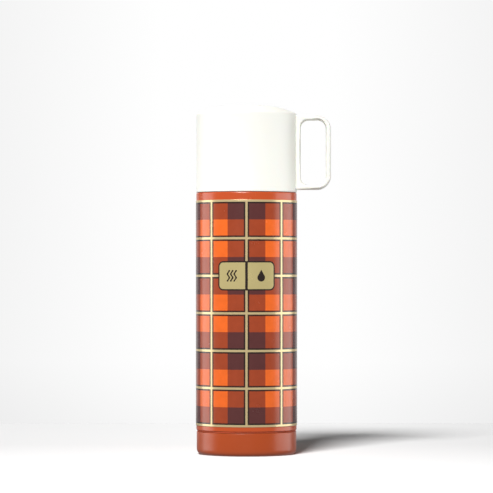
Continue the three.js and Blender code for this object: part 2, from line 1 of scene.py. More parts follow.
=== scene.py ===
# Looks of the vacuum flask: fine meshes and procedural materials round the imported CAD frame.
import math
import json
import bpy
import bmesh
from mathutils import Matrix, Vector


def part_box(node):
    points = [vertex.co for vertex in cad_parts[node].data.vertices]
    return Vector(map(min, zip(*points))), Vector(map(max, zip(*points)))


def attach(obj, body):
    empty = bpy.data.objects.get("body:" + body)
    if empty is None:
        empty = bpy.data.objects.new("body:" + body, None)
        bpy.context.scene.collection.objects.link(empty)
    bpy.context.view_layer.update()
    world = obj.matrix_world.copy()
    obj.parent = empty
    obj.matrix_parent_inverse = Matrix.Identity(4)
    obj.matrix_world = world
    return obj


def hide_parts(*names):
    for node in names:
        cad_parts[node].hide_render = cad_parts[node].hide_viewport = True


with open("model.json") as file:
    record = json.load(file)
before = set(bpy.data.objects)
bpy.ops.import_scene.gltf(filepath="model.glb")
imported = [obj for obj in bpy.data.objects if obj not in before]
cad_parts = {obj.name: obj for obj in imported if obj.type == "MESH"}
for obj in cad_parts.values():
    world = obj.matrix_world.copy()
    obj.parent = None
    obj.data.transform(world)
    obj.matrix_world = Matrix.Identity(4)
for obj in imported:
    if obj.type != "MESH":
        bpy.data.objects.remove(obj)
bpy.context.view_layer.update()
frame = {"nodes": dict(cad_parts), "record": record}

MM = 0.001
ROUND = 192  # facets round the large turned pieces
ROUND_SMALL = 96
THREAD_DEPTH = 0.95 * MM
CUP_LEAD = 6 * MM  # rise in one turn of the cup's thread
LEAD = 4 * MM  # of the base's and the stopper's threads


# ---- Places from the frame ----------------------------------------------------------


def bottom(node):
    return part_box(node)[0].z


def top(node):
    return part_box(node)[1].z


def radius(node):
    """Half of a turned node's width."""
    low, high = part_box(node)
    return (high.x - low.x) / 2


# ---- Mesh building ------------------------------------------------------------------


def new_object(name, vertices, faces, material):
    mesh = bpy.data.meshes.new(name)
    mesh.from_pydata([tuple(v) for v in vertices], [], faces)
    bm = bmesh.new()
    bm.from_mesh(mesh)
    bmesh.ops.recalc_face_normals(bm, faces=bm.faces)
    bm.to_mesh(mesh)
    bm.free()
    for polygon in mesh.polygons:
        polygon.use_smooth = True
    mesh.materials.append(material)
    piece = bpy.data.objects.new(name, mesh)
    bpy.context.scene.collection.objects.link(piece)
    return piece


def arc(centre_r, centre_z, width, start, end, steps, height=None):
    """Points of an ellipse's arc in a profile, angles in degrees from outward."""
    height = height or width
    points = []
    for i in range(steps + 1):
        angle = math.radians(start + (end - start) * i / steps)
        points.append((centre_r + width * math.cos(angle), centre_z + height * math.sin(angle)))
    return points


def outline(*corners, steps=4):
    """A profile through (radius, height, rounding) corners, the rounding in millimetres."""
    result = []
    for i, (r, z, rounding) in enumerate(corners):
        here = Vector((r, z))
        if rounding <= 0:
            result.append(tuple(here))
            continue
        into = Vector(corners[i - 1][:2]) - here
        out = Vector(corners[(i + 1) % len(corners)][:2]) - here
        reach = min(rounding * MM, into.length * 0.49, out.length * 0.49)
        start = here + into.normalized() * reach
        end = here + out.normalized() * reach
        for k in range(steps + 1):
            t = k / steps
            result.append(tuple(start.lerp(here, t).lerp(here.lerp(end, t), t)))
    return result


def turned(name, profile, material, ring=False, facets=ROUND, shape=None):
    """A profile of (radius, height) points turned round the Z axis. A ring's profile closes on
    itself. shape, where given, changes a radius by its angle."""
    vertices, faces, rows = [], [], []
    for r, z in profile:
        if r < 1e-7:
            rows.append([len(vertices)] * facets)
            vertices.append((0, 0, z))
            continue
        rows.append(range(len(vertices), len(vertices) + facets))
        for k in range(facets):
            angle = 2 * math.pi * k / facets
            size = shape(r, angle) if shape else r
            vertices.append((size * math.cos(angle), size * math.sin(angle), z))
    pairs = list(zip(rows, rows[1:])) + ([(rows[-1], rows[0])] if ring else [])
    for low, high in pairs:
        for k in range(facets):
            n = (k + 1) % facets
            corners = [low[k], low[n], high[n], high[k]]
            unique = list(dict.fromkeys(corners))
            if len(unique) > 2:
                faces.append(unique)
    piece = new_object(name, vertices, faces, material)
    keep_creases(piece)
    return piece


def keep_creases(piece):
    """Shades a piece smooth except across its sharp edges."""
    bm = bmesh.new()
    bm.from_mesh(piece.data)
    limit = math.radians(38)
    for edge in bm.edges:
        if len(edge.link_faces) == 2 and edge.calc_face_angle(0) > limit:
            edge.smooth = False
    bm.to_mesh(piece.data)
    bm.free()


def screw_ridge(name, material, wall, side, z, lead, first, last):
    """A right-handed screw ridge between two turns, on a wall of that radius. side is 1 on the
    outside of a wall and -1 on the inside. The ridge has a rounded crest and runs out at its ends."""
    sunk = 0.3 * MM  # how far its root lies in the wall
    steps_per_turn = 96
    run_out = steps_per_turn * 0.06
    steps = int((last - first) * steps_per_turn)
    half_root, half_crest = lead * 0.22, lead * 0.11
    section = [(-sunk, -half_root), (0, -half_root), (0.75, -half_crest), (1, -half_crest * 0.5),
               (1, half_crest * 0.5), (0.75, half_crest), (0, half_root), (-sunk, half_root)]
    vertices, faces = [], []
    for i in range(steps + 1):
        turns = first + (last - first) * i / steps
        full = min(1, min(i, steps - i) / run_out) ** 0.5
        narrow = 0.4 + 0.6 * full
        angle = turns * 2 * math.pi
        for reach, dz in section:
            out = reach * THREAD_DEPTH * full if reach > 0 else reach
            r = wall + side * out
            vertices.append((r * math.cos(angle), r * math.sin(angle), z + dz * narrow + lead * turns))
    n = len(section)
    for i in range(steps):
        for k in range(n):
            a, b = i * n + k, i * n + (k + 1) % n
            faces.append((a, b, b + n, a + n))
    faces.append(tuple(range(n)))
    faces.append(tuple(range(steps * n, steps * n + n)))
    return new_object(name, vertices, faces, material)


# ---- Shader helpers -----------------------------------------------------------------


class Nodes:
    """Short names for building the node tree of a material or a world."""

    def __init__(self, owner):
        owner.use_nodes = True
        self.tree = owner.node_tree
        self.tree.nodes.clear()

    def add(self, kind, **settings):
        node = self.tree.nodes.new(kind)
        for key, value in settings.items():
            setattr(node, key, value)
        return node

    def link(self, source, target):
        self.tree.links.new(source, target)

    def put(self, socket, value):
        """Sets a socket to a number, colour or another node's output."""
        if isinstance(value, bpy.types.NodeSocket):
            self.link(value, socket)
        else:
            socket.default_value = value

    def math(self, operation, a, b=0.0, c=0.0):
        node = self.add("ShaderNodeMath", operation=operation)
        for socket, value in zip(node.inputs, (a, b, c)):
            self.put(socket, value)
        return node.outputs[0]

    def mix(self, share, a, b):
        node = self.add("ShaderNodeMix", data_type="RGBA")
        self.put(node.inputs["Factor"], share)
        self.put(node.inputs[6], a)
        self.put(node.inputs[7], b)
        return node.outputs[2]

    def noise(self, coordinates, scale, detail, roughness=0.5):
        node = self.add("ShaderNodeTexNoise")
        self.link(coordinates, node.inputs["Vector"])
        node.inputs["Scale"].default_value = scale
        node.inputs["Detail"].default_value = detail
        node.inputs["Roughness"].default_value = roughness
        return node.outputs["Fac"]

    def remap(self, value, low, high, to_low, to_high):
        node = self.add("ShaderNodeMapRange")
        self.put(node.inputs["Value"], value)
        node.inputs["From Min"].default_value = low
        node.inputs["From Max"].default_value = high
        node.inputs["To Min"].default_value = to_low
        node.inputs["To Max"].default_value = to_high
        return node.outputs["Result"]

    def object_point(self):
        return self.add("ShaderNodeTexCoord").outputs["Object"]

    def split(self, vector):
        node = self.add("ShaderNodeSeparateXYZ")
        self.link(vector, node.inputs[0])
        return node.outputs

    def join(self, x, y, z):
        node = self.add("ShaderNodeCombineXYZ")
        for socket, value in zip(node.inputs, (x, y, z)):
            self.put(socket, value)
        return node.outputs[0]

    def bump(self, height, distance, strength):
        node = self.add("ShaderNodeBump")
        self.link(height, node.inputs["Height"])
        node.inputs["Distance"].default_value = distance
        node.inputs["Strength"].default_value = strength
        return node.outputs["Normal"]


class Surface(Nodes):
    """A material whose nodes end in one shader."""

    def __init__(self, name):
        self.material = bpy.data.materials.new(name)
        super().__init__(self.material)
        self.shader = self.add("ShaderNodeBsdfPrincipled")
        output = self.add("ShaderNodeOutputMaterial")
        self.link(self.shader.outputs["BSDF"], output.inputs["Surface"])


def srgb(red, green, blue):
    """A colour given as 0 to 255 screen values, as linear light."""
    def linear(value):
        value /= 255
        return value / 12.92 if value <= 0.04045 else ((value + 0.055) / 1.055) ** 2.4
    return (linear(red), linear(green), linear(blue), 1.0)


def moulded(name, colour, roughness, grain=0.35, tint=0.03, coat=0.0, subsurface=0.0):
    """Injection-moulded plastic or rubber: fine surface grain, faint mottling, faint handling marks."""
    n = Surface(name)
    point = n.object_point()
    mottle = n.noise(point, 45, 3)
    darker = tuple(c * (1 - tint) for c in colour[:3]) + (1.0,)
    lighter = tuple(min(1, c * (1 + tint)) for c in colour[:3]) + (1.0,)
    n.link(n.mix(mottle, darker, lighter), n.shader.inputs["Base Color"])
    smears = n.noise(point, 130, 4, 0.6)
    n.link(n.remap(smears, 0.3, 0.7, roughness * 0.88, roughness * 1.12), n.shader.inputs["Roughness"])
    fine = n.noise(point, 1100, 2)
    n.link(n.bump(fine, 0.00002, grain), n.shader.inputs["Normal"])
    n.shader.inputs["Coat Weight"].default_value = coat
    n.shader.inputs["Coat Roughness"].default_value = 0.15
    n.shader.inputs["Subsurface Weight"].default_value = subsurface
    n.shader.inputs["Subsurface Scale"].default_value = 0.002
    return n.material


# ---- The case's print ---------------------------------------------------------------

CASE_RADIUS = radius("case_tube")
CELL = 27.38 * MM  # height of a plaid cell
COLUMN = 28.2 * MM  # width of a plaid cell, round the case
TOP_LINE = top("case_tube") - 6.6 * MM  # middle of the highest gold line
LOWEST_LINE = TOP_LINE - 6 * CELL  # middle of the seventh and lowest gold line
GOLD_LINE = 1.62 * MM
DARK_LINE = 1.2 * MM  # on either side of a gold line
BADGE_WIDTH = 43.6 * MM
BADGE_HEIGHT = 21.5 * MM
BADGE_CORNER = 4.2 * MM
BADGE_LINE = 1.05 * MM
BADGE_DIVIDER = 1.9 * MM
BADGE_Z = TOP_LINE - 2 * CELL
THREAD_PITCH = 0.9 * MM  # of the printed weave

INK_LIGHT = srgb(246, 110, 38)
INK_MIDDLE = srgb(166, 70, 38)
INK_DARK = srgb(94, 50, 49)
INK_LINE = srgb(44, 34, 30)
INK_GOLD = srgb(232, 208, 156)
INK_BADGE = srgb(226, 208, 146)
INK_BORDER = srgb(202, 84, 40)
BARE_STEEL = srgb(150, 150, 148)


def below(n, value, limit, soft=0.00004):
    """1 where a length is under a limit, with an edge as soft as printing."""
    return n.remap(value, limit - soft, limit + soft, 1.0, 0.0)


def distance_to_lines(n, value, spacing):
    """Distance from the nearest of evenly spaced lines."""
    return n.math("ABSOLUTE", n.math("WRAP", value, spacing / 2, -spacing / 2))


def is_even_cell(n, value, spacing):
    """1 near even-numbered lines and 0 near odd-numbered ones, with a crisp edge half-way."""
    distance = distance_to_lines(n, value, 2 * spacing)
    return below(n, distance, spacing / 2)


def print_coordinates(n):
    """Distance round the case from its front, and height from the top gold line, both in metres."""
    x, y, z = n.split(n.object_point())
    angle = n.math("ARCTAN2", x, n.math("MULTIPLY", y, -1.0))
    return n.math("MULTIPLY", angle, CASE_RADIUS), n.math("SUBTRACT", z, TOP_LINE)


def rounded_box(n, u, v, half_width, half_height, corner):
    """Signed distance to a rectangle with rounded corners, centred on u = v = 0."""
    across = n.math("SUBTRACT", n.math("ABSOLUTE", u), half_width - corner)
    up = n.math("SUBTRACT", n.math("ABSOLUTE", v), half_height - corner)
    a, b = n.math("MAXIMUM", across, 0.0), n.math("MAXIMUM", up, 0.0)
    outside = n.math("SQRT", n.math("ADD", n.math("MULTIPLY", a, a), n.math("MULTIPLY", b, b)))
    inside = n.math("MINIMUM", n.math("MAXIMUM", across, up), 0.0)
    return n.math("SUBTRACT", n.math("ADD", outside, inside), corner)


def steam_mark(n, u, v, centre):
    """Three upright wavy strokes."""
    wavelength, sway, pitch = 5.2 * MM, 0.7 * MM, 2.6 * MM
    half_stroke, half_width, half_height = 0.62 * MM, 4.0 * MM, 4.2 * MM
    aside = n.math("SUBTRACT", u, centre)
    wave = n.math("MULTIPLY", n.math("SINE", n.math("MULTIPLY", v, 2 * math.pi / wavelength)), sway)
    stroke = below(n, distance_to_lines(n, n.math("ADD", aside, wave), pitch), half_stroke)
    within = n.math("MULTIPLY", below(n, n.math("ABSOLUTE", aside), half_width),
                    below(n, n.math("ABSOLUTE", v), half_height))
    return n.math("MULTIPLY", stroke, within)


def drop_mark(n, u, v, centre):
    """A round drop with a point at its top."""
    drop_radius, lowered, slant, half_base = 2.9 * MM, 1.3 * MM, 0.55, 2.5 * MM
    aside = n.math("ABSOLUTE", n.math("SUBTRACT", u, centre))
    down = n.math("ADD", v, lowered)
    square = n.math("ADD", n.math("MULTIPLY", aside, aside), n.math("MULTIPLY", down, down))
    disc = below(n, n.math("SQRT", square), drop_radius)
    slope = below(n, n.math("ADD", aside, n.math("MULTIPLY", v, slant)), half_base)
    upper = n.math("GREATER_THAN", v, 0.1 * MM)
    return n.math("MAXIMUM", disc, n.math("MULTIPLY", slope, upper))


def woven_cells(n, around, height):
    """Light, middle and dark cells, their inks a little uneven like threads."""
    dark_column = is_even_cell(n, around, COLUMN)
    dark_row = is_even_cell(n, height, CELL)
    light_row = n.mix(dark_column, INK_LIGHT, INK_MIDDLE)
    dim_row = n.mix(dark_column, INK_MIDDLE, INK_DARK)
    threads_up = n.math("SINE", n.math("MULTIPLY", around, 2 * math.pi / THREAD_PITCH))
    threads_across = n.math("SINE", n.math("MULTIPLY", height, 2 * math.pi / THREAD_PITCH))
    weave = n.math("MULTIPLY", threads_up, threads_across)
    patchy = n.noise(n.join(around, height, 0.0), 160, 3)
    shade = n.math("ADD", n.remap(weave, -1, 1, -0.05, 0.05), n.remap(patchy, 0.3, 0.7, -0.05, 0.05))
    uneven = n.add("ShaderNodeHueSaturation")
    n.link(n.mix(dark_row, light_row, dim_row), uneven.inputs["Color"])
    n.link(n.math("ADD", 1.0, shade), uneven.inputs["Value"])
    return uneven.outputs["Color"]


def badge(n, around, z):
    """Where a plain plaque lies and where it is gold: two halves, one with steam for hot drinks
    and one with a drop for cold ones."""
    v = n.math("SUBTRACT", z, BADGE_Z)
    plaque = rounded_box(n, around, v, BADGE_WIDTH / 2, BADGE_HEIGHT / 2, BADGE_CORNER)
    divider = below(n, n.math("ABSOLUTE", around), BADGE_DIVIDER / 2)
    steam = steam_mark(n, around, v, -BADGE_WIDTH / 4)
    drop = drop_mark(n, around, v, BADGE_WIDTH / 4)
    marks = n.math("MAXIMUM", n.math("MAXIMUM", steam, drop), divider)
    gilt = n.math("MULTIPLY", below(n, plaque, -BADGE_LINE), n.math("SUBTRACT", 1.0, marks))
    return below(n, plaque, 0.0), gilt


def varnished(n, z):
    """1 on the case's outside and over its top edge, and 0 on the bare steel inside."""
    x, y, _ = n.split(n.object_point())
    across = n.math("SQRT", n.math("ADD", n.math("MULTIPLY", x, x), n.math("MULTIPLY", y, y)))
    outside = n.math("GREATER_THAN", across, CASE_RADIUS - 0.6 * MM)
    top_edge = n.math("GREATER_THAN", z, top("case_tube") - 0.3 * MM)
    return n.math("MAXIMUM", outside, top_edge)


def varnish(n, gold):
    """A gloss with faint smears and ripples, on ink that stands proud where it is gold."""
    n.link(n.math("MULTIPLY", gold, 0.4), n.shader.inputs["Metallic"])
    smears = n.noise(n.object_point(), 90, 4, 0.6)
    n.link(n.remap(smears, 0.3, 0.7, 0.22, 0.28), n.shader.inputs["Roughness"])
    ripple = n.noise(n.object_point(), 22, 2)
    orange_peel = n.noise(n.object_point(), 420, 2)
    relief = n.math("ADD", n.math("MULTIPLY", ripple, 0.2), n.math("MULTIPLY", orange_peel, 0.008))
    ink_step = n.math("ADD", relief, n.math("MULTIPLY", gold, 0.06))
    n.link(n.bump(ink_step, 0.0004, 0.35), n.shader.inputs["Normal"])
    n.shader.inputs["Coat Weight"].default_value = 0.15
    n.shader.inputs["Coat Roughness"].default_value = 0.22


def printed_steel():
    """A woven plaid in gold lines, with a plain badge and plain borders, all under varnish."""
    n = Surface("printed_steel")
    around, height = print_coordinates(n)
    z = n.math("ADD", height, TOP_LINE)
    nearest = n.math("MINIMUM", distance_to_lines(n, around, COLUMN), distance_to_lines(n, height, CELL))
    dark_line = below(n, nearest, GOLD_LINE / 2 + DARK_LINE)
    gold_line = below(n, nearest, GOLD_LINE / 2)
    plaque, gilt = badge(n, around, z)
    above = n.math("GREATER_THAN", z, TOP_LINE + GOLD_LINE / 2)
    border = n.math("MAXIMUM", below(n, z, LOWEST_LINE - GOLD_LINE / 2), above)

    colour = woven_cells(n, around, height)
    colour = n.mix(n.math("MULTIPLY", dark_line, 0.93), colour, INK_LINE)
    colour = n.mix(gold_line, colour, INK_GOLD)
    colour = n.mix(plaque, colour, INK_LINE)
    colour = n.mix(gilt, colour, INK_BADGE)
    colour = n.mix(border, colour, INK_BORDER)
    n.link(n.mix(varnished(n, z), BARE_STEEL, colour), n.shader.inputs["Base Color"])

    gold = n.math("MAXIMUM", n.math("MULTIPLY", gold_line, n.math("SUBTRACT", 1.0, plaque)), gilt)
    varnish(n, n.math("MULTIPLY", gold, n.math("SUBTRACT", 1.0, border)))
    return n.material


# ---- Other materials ----------------------------------------------------------------


def silvered_glass():
    n = Surface("silvered_glass")
    point = n.object_point()
    streaks = n.noise(point, 35, 4, 0.6)
    n.link(n.mix(streaks, srgb(176, 184, 186), srgb(214, 218, 220)), n.shader.inputs["Base Color"])
    n.link(n.remap(streaks, 0.3, 0.7, 0.05, 0.12), n.shader.inputs["Roughness"])
    n.link(n.bump(n.noise(point, 60, 2), 0.0003, 0.25), n.shader.inputs["Normal"])
    n.shader.inputs["Metallic"].default_value = 0.85
    n.shader.inputs["Coat Weight"].default_value = 1.0
    n.shader.inputs["Coat Roughness"].default_value = 0.03
    return n.material


def corrugated_board():
    n = Surface("corrugated_board")
    point = n.object_point()
    x, y, _ = n.split(point)
    angle = n.math("ARCTAN2", x, y)
    flutes = n.math("SINE", n.math("MULTIPLY", angle, 60.0))
    fibres = n.noise(point, 400, 5, 0.7)
    n.link(n.mix(fibres, srgb(140, 106, 66), srgb(190, 154, 108)), n.shader.inputs["Base Color"])
    n.shader.inputs["Roughness"].default_value = 0.92
    n.link(n.bump(n.math("ADD", flutes, fibres), 0.0004, 0.8), n.shader.inputs["Normal"])
    return n.material


def foam(name, colour):
    n = Surface(name)
    point = n.object_point()
    cells = n.add("ShaderNodeTexVoronoi")
    n.link(point, cells.inputs["Vector"])
    cells.inputs["Scale"].default_value = 900
    distance = cells.outputs["Distance"]
    dim = tuple(c * 0.86 for c in colour[:3]) + (1.0,)
    n.link(n.mix(distance, dim, colour), n.shader.inputs["Base Color"])
    n.shader.inputs["Roughness"].default_value = 0.9
    n.link(n.bump(distance, 0.0002, 0.7), n.shader.inputs["Normal"])
    return n.material


IVORY = moulded("ivory_plastic", srgb(247, 247, 239), 0.5, grain=0.1, tint=0.01, subsurface=0.06)
ORANGE = moulded("orange_plastic", srgb(183, 77, 32), 0.34, coat=0.1)
RED = moulded("red_plastic", srgb(176, 66, 40), 0.36, coat=0.1)
RED_RUBBER = moulded("red_rubber", srgb(214, 92, 54), 0.75, grain=0.4, tint=0.06)
BLACK_RUBBER = moulded("black_rubber", srgb(38, 34, 31), 0.75, grain=0.7, tint=0.1)
GREY_RUBBER = moulded("grey_rubber", srgb(111, 105, 98), 0.8, grain=0.7, tint=0.08)
BLACK_PLASTIC = moulded("black_plastic", srgb(46, 44, 42), 0.55, grain=0.5, tint=0.08)
CERAMIC = moulded("ceramic_fibre", srgb(216, 208, 194), 0.9, grain=0.9, tint=0.06)
GLASS = silvered_glass()
BOARD = corrugated_board()
FOAM = foam("white_foam", srgb(232, 226, 210))
PRINT = printed_steel()

FINISHES = {
    "ivory_plastic": IVORY,
    "orange_plastic": ORANGE,
    "red_plastic": RED,
    "black_rubber": BLACK_RUBBER,
    "red_rubber": RED_RUBBER,
    "grey_rubber": GREY_RUBBER,
    "black_plastic": BLACK_PLASTIC,
    "ceramic_fibre": CERAMIC,
    "silvered_glass": GLASS,
    "corrugated_board": BOARD,
    "white_foam": FOAM,
    "printed_steel": PRINT,
}

SLOTS = {entry["node"]: entry["material_slot"] for entry in frame["record"]["subparts"]}
BODIES = {node: body for body, nodes in frame["record"]["behaviour"]["bodies"].items() for node in nodes}


def stands_for(piece, node):
    """A detailed piece takes a CAD node's place and body."""
    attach(piece, BODIES[node])
    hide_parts(node)


def goes_with(piece, node):
    """A piece that adds to a CAD node's replacement."""
    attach(piece, BODIES[node])


def finish_cad_nodes():
    for node, obj in frame["nodes"].items():
        obj.data.materials.clear()
        obj.data.materials.append(FINISHES[SLOTS[node]])


# ---- Case ---------------------------------------------------------------------------

CASE_WALL = 0.6 * MM
BORDER = CASE_RADIUS - 0.35 * MM  # radius of the plain borders


def case():
    low, high, r = bottom("case_tube"), top("case_tube"), CASE_RADIUS
    low_edge = LOWEST_LINE - GOLD_LINE / 2
    high_edge = TOP_LINE + GOLD_LINE / 2
    inside = BORDER - CASE_WALL
    lip = inside - 1.9 * MM
    profile = outline(
        (BORDER - 0.1 * MM, low, 0.25), (BORDER, low + 0.6 * MM, 0.3),
        (BORDER, low_edge - 0.25 * MM, 0.12), (r, low_edge + 0.1 * MM, 0.15),
        (r, high_edge - 0.1 * MM, 0.15), (BORDER, high_edge + 0.25 * MM, 0.12),
        (BORDER, high, 1.0), (lip, high, 0.25), (lip, high - CASE_WALL, 0.2),
        (inside, high - CASE_WALL, 1.0), (inside, low, 0.15),
    )
    stands_for(turned("case_shell", profile, PRINT, ring=True), "case_tube")


def case_base_ring():
    """Ring inside the case's foot, with the thread that takes the base."""
    r, low, high = radius("case_base_ring"), bottom("case_base_ring"), top("case_base_ring")
    wall = r - THREAD_DEPTH
    profile = outline((r, low, 0.2), (r, high, 0.2), (wall, high, 0.3), (wall, low, 0.3))
    material = FINISHES[SLOTS["case_base_ring"]]
    stands_for(turned("foot_ring", profile, material, ring=True), "case_base_ring")
    z = bottom("case_tube") + 3.9 * MM
    thread = screw_ridge("foot_ring_thread", material, wall, -1, z, LEAD, -0.2, 1.3)
    goes_with(thread, "case_base_ring")


# ---- Base ---------------------------------------------------------------------------


def base():
    r, high = radius("base_cup"), bottom("base_seal_ring") - 0.3 * MM
    spigot_top = top("base_cup")
    spigot = radius("case_base_ring") - 2.35 * MM
    hollow = spigot - 1.5 * MM
    floor, recess, middle_recess = 2.5 * MM, 0.8 * MM, 1.1 * MM
    profile = outline(
        (0, middle_recess, 0), (3 * MM, middle_recess, 0.4), (3.4 * MM, recess, 0.3),
        (24 * MM, recess, 0.8), (25 * MM, 0, 0.6), (r, 0, 4.6), (r, high, 0.5), (spigot, high, 0.1),
        (spigot, spigot_top, 0.4), (hollow, spigot_top, 0.3), (hollow, floor, 1.5), (0, floor, 0),
        steps=8,
    )
    stands_for(turned("base", profile, ORANGE), "base_cup")
    z = bottom("case_tube") + 1.9 * MM
    thread = screw_ridge("base_thread", ORANGE, spigot, 1, z, LEAD, 0, 1.5)
    goes_with(thread, "base_cup")


def soft_ring(name, node, width, rounding=0.3):
    """A plain soft ring of a node's height and outer radius."""
    r, low, high = radius(node), bottom(node), top(node)
    corners = ((r - width, low), (r, low), (r, high), (r - width, high))
    profile = outline(*((x, z, rounding) for x, z in corners))
    stands_for(turned(name, profile, FINISHES[SLOTS[node]], ring=True), node)


GLASS_WALL = 1.2 * MM
ROUND_BOTTOM = 33 * MM  # height of the outer vessel's rounded bottom, where its side begins
BOTTOM_DEPTH = 28 * MM  # of the ellipse that the bottom follows


def filler_bottom(r):
    """Height of the filler's rounded bottom at a radius."""
    middle = bottom("glass_outer_vessel") + ROUND_BOTTOM
    return middle - BOTTOM_DEPTH * math.sqrt(1 - (r / radius("glass_outer_vessel")) ** 2)


def base_cushion():
    r, low, hole = radius("base_cushion"), bottom("base_cushion"), 6.5 * MM
    profile = [(hole, low), (r, low)]
    for i in range(11):
        here = r + (hole - r) * i / 10
        profile.append((here, filler_bottom(here) - 0.6 * MM))
    piece = turned("cushion", profile, GREY_RUBBER, ring=True, facets=ROUND_SMALL)
    stands_for(piece, "base_cushion")


# ---- Glass filler and its packing ---------------------------------------------------


def glass_outer():
    r, low, high = radius("glass_outer_vessel"), bottom("glass_outer_vessel"), top("glass_outer_vessel")
    middle, shoulder = low + ROUND_BOTTOM, high - 30.2 * MM
    wall, neck, shoulder_height = GLASS_WALL, 18.5 * MM, 22 * MM
    tip_root = 2.9 * MM
    profile = [(0, low), (1.0 * MM, low + 0.2 * MM), (1.7 * MM, low + 1.1 * MM),
               (2.1 * MM, low + 3 * MM), (tip_root, filler_bottom(tip_root) - 0.2 * MM)]
    profile += arc(0, middle, r, -83, 0, 18, BOTTOM_DEPTH)
    profile += arc(neck, shoulder, r - neck, 0, 90, 16, shoulder_height)
    profile += [(neck, high), (neck - wall, high)]
    profile += arc(neck - wall, shoulder, r - neck, 90, 0, 16, shoulder_height - wall)
    profile += arc(0, middle, r - wall, 0, -90, 18, BOTTOM_DEPTH - wall)
    piece = turned("outer_vessel", profile, GLASS, facets=ROUND_SMALL)
    stands_for(piece, "glass_outer_vessel")


def glass_inner():
    r, low, high = radius("glass_inner_vessel"), bottom("glass_inner_vessel"), top("glass_inner_vessel")
    depth, shoulder_height = 24.2 * MM, 18.2 * MM
    middle, shoulder = low + depth, high - 32 * MM
    wall, neck, lip = GLASS_WALL, 15.2 * MM, 18.5 * MM
    bore = neck - wall
    profile = arc(0, middle, r, -90, 0, 18, depth)
    profile += arc(neck, shoulder, r - neck, 0, 90, 16, shoulder_height)
    profile += outline(
        (neck, high - 1.6 * MM, 0), (neck, high - 1.5 * MM, 0.05), (lip, high - 1.5 * MM, 0.6),
        (lip, high, 0.7), (bore, high, 0.8), (bore, high - 4 * MM, 0),
    )
    profile += arc(bore, shoulder, r - neck, 90, 0, 16, shoulder_height - wall)
    profile += arc(0, middle, r - wall, 0, -90, 18, depth - wall)
    piece = turned("inner_vessel", profile, GLASS, facets=ROUND_SMALL)
    stands_for(piece, "glass_inner_vessel")


def tip_cap():
    r, low, high = radius("glass_tip_cap"), bottom("glass_tip_cap"), top("glass_tip_cap")
    inside, floor = r - 1.5 * MM, low + 1.5 * MM
    profile = outline((0, low, 0), (r, low, 0.9), (r, high, 0.4), (inside, high, 0.3),
                      (inside, floor, 0.3), (0, floor, 0))
    stands_for(turned("tip_cover", profile, BLACK_RUBBER, facets=48), "glass_tip_cap")


def sleeve():
    """Corrugated board, rolled with its flutes upright."""
    r, low, high = radius("insulating_sleeve"), bottom("insulating_sleeve"), top("insulating_sleeve")
    inside = r - 2.2 * MM
    flutes = 80

    def corrugate(here, angle):
        return here - 0.25 * MM * (1 - math.cos(flutes * angle)) if here > inside + MM else here

    profile = [(inside, low), (r, low), (r, high), (inside, high)]
    piece = turned("board_sleeve", profile, BOARD, ring=True, facets=flutes * 6, shape=corrugate)
    stands_for(piece, "insulating_sleeve")


# ---- Cup ----------------------------------------------------------------------------


def dome(edge, drop, high):
    """Points over the cup's crown from its rounded edge to the flat middle."""
    flat, power, steps = 17.5 * MM, 1.75, 14
    points = []
    for i in range(steps + 1):
        share = 1 - i / steps
        points.append((flat + (edge - flat) * share, high - drop * share ** power))
    return points


def cup():
    r, low, high = radius("cup_shell"), bottom("cup_shell"), top("cup_shell")
    shoulder = high - 5.1 * MM
    wall = r - 2.25 * MM
    thread_wall = wall - MM
    chamfer, step = 0.16 * MM, 0.12 * MM
    outside = [(r - chamfer, low), (r, low + chamfer), (r, low + 1.7 * MM),
               (r - step, low + 2.0 * MM), (r - step, shoulder - 1.4 * MM)]
    edge = arc(r - 1.5 * MM, shoulder - 1.3 * MM, 1.38 * MM, 0, 68, 8)
    crown = dome(edge[-1][0], high - edge[-1][1], high)
    inside = [(18 * MM, high - 2 * MM), (wall - 3 * MM, shoulder - 2.2 * MM),
              (wall, shoulder - 5 * MM), (wall, low + 12.5 * MM), (thread_wall, low + 11.5 * MM),
              (thread_wall, low + 0.4 * MM), (thread_wall + 0.4 * MM, low)]
    profile = [(0, high - 2 * MM)] + inside + outside + edge + crown[1:-1] + [(0, high)]
    stands_for(turned("cup", profile, IVORY), "cup_shell")
    z = top("case_tube") - 1.1 * MM
    thread = screw_ridge("cup_thread", IVORY, thread_wall, -1, z, CUP_LEAD, 0.55, 1.65)
    goes_with(thread, "cup_shell")


def cup_lining():
    r, low, high = radius("cup_liner"), bottom("cup_liner"), top("cup_liner")
    tube = r - 1.95 * MM
    wall = 1.2 * MM
    profile = outline(
        (0, high, 0), (18 * MM, high, 4), (tube - 1.6 * MM, high - 4.9 * MM, 1.2),
        (tube, high - 7.5 * MM, 2), (tube, low + wall, 0.2), (r, low + wall, 0.3), (r, low, 0.3),
        (tube - wall, low, 0.4), (tube - wall, high - 8.2 * MM, 2),
        (tube - 2.4 * MM, high - 6.1 * MM, 1.2), (18 * MM, high - wall, 4), (0, high - wall, 0),
    )
    stands_for(turned("cup_lining", profile, IVORY), "cup_liner")


def frame_path(left, low, right, high, far_corner, near_corner):
    """Points round a rectangle, its right-hand corners of one radius and its left-hand ones of
    another. Every such path has the same number of points."""
    per_corner, per_side = 14, 10
    far, near = far_corner, near_corner
    centres = [(right - far, low + far, -90, far), (right - far, high - far, 0, far),
               (left + near, high - near, 90, near), (left + near, low + near, 180, near)]

    def on_corner(x, z, start, size, turned_by=0.0):
        angle = math.radians(start + turned_by)
        return Vector((x + size * math.cos(angle), z + size * math.sin(angle)))

    points = []
    for i, corner in enumerate(centres):
        points += [on_corner(*corner, 90 * k / per_corner) for k in range(per_corner + 1)]
        here, there = points[-1], on_corner(*centres[(i + 1) % 4])
        points += [here.lerp(there, k / per_side) for k in range(1, per_side)]
    return points


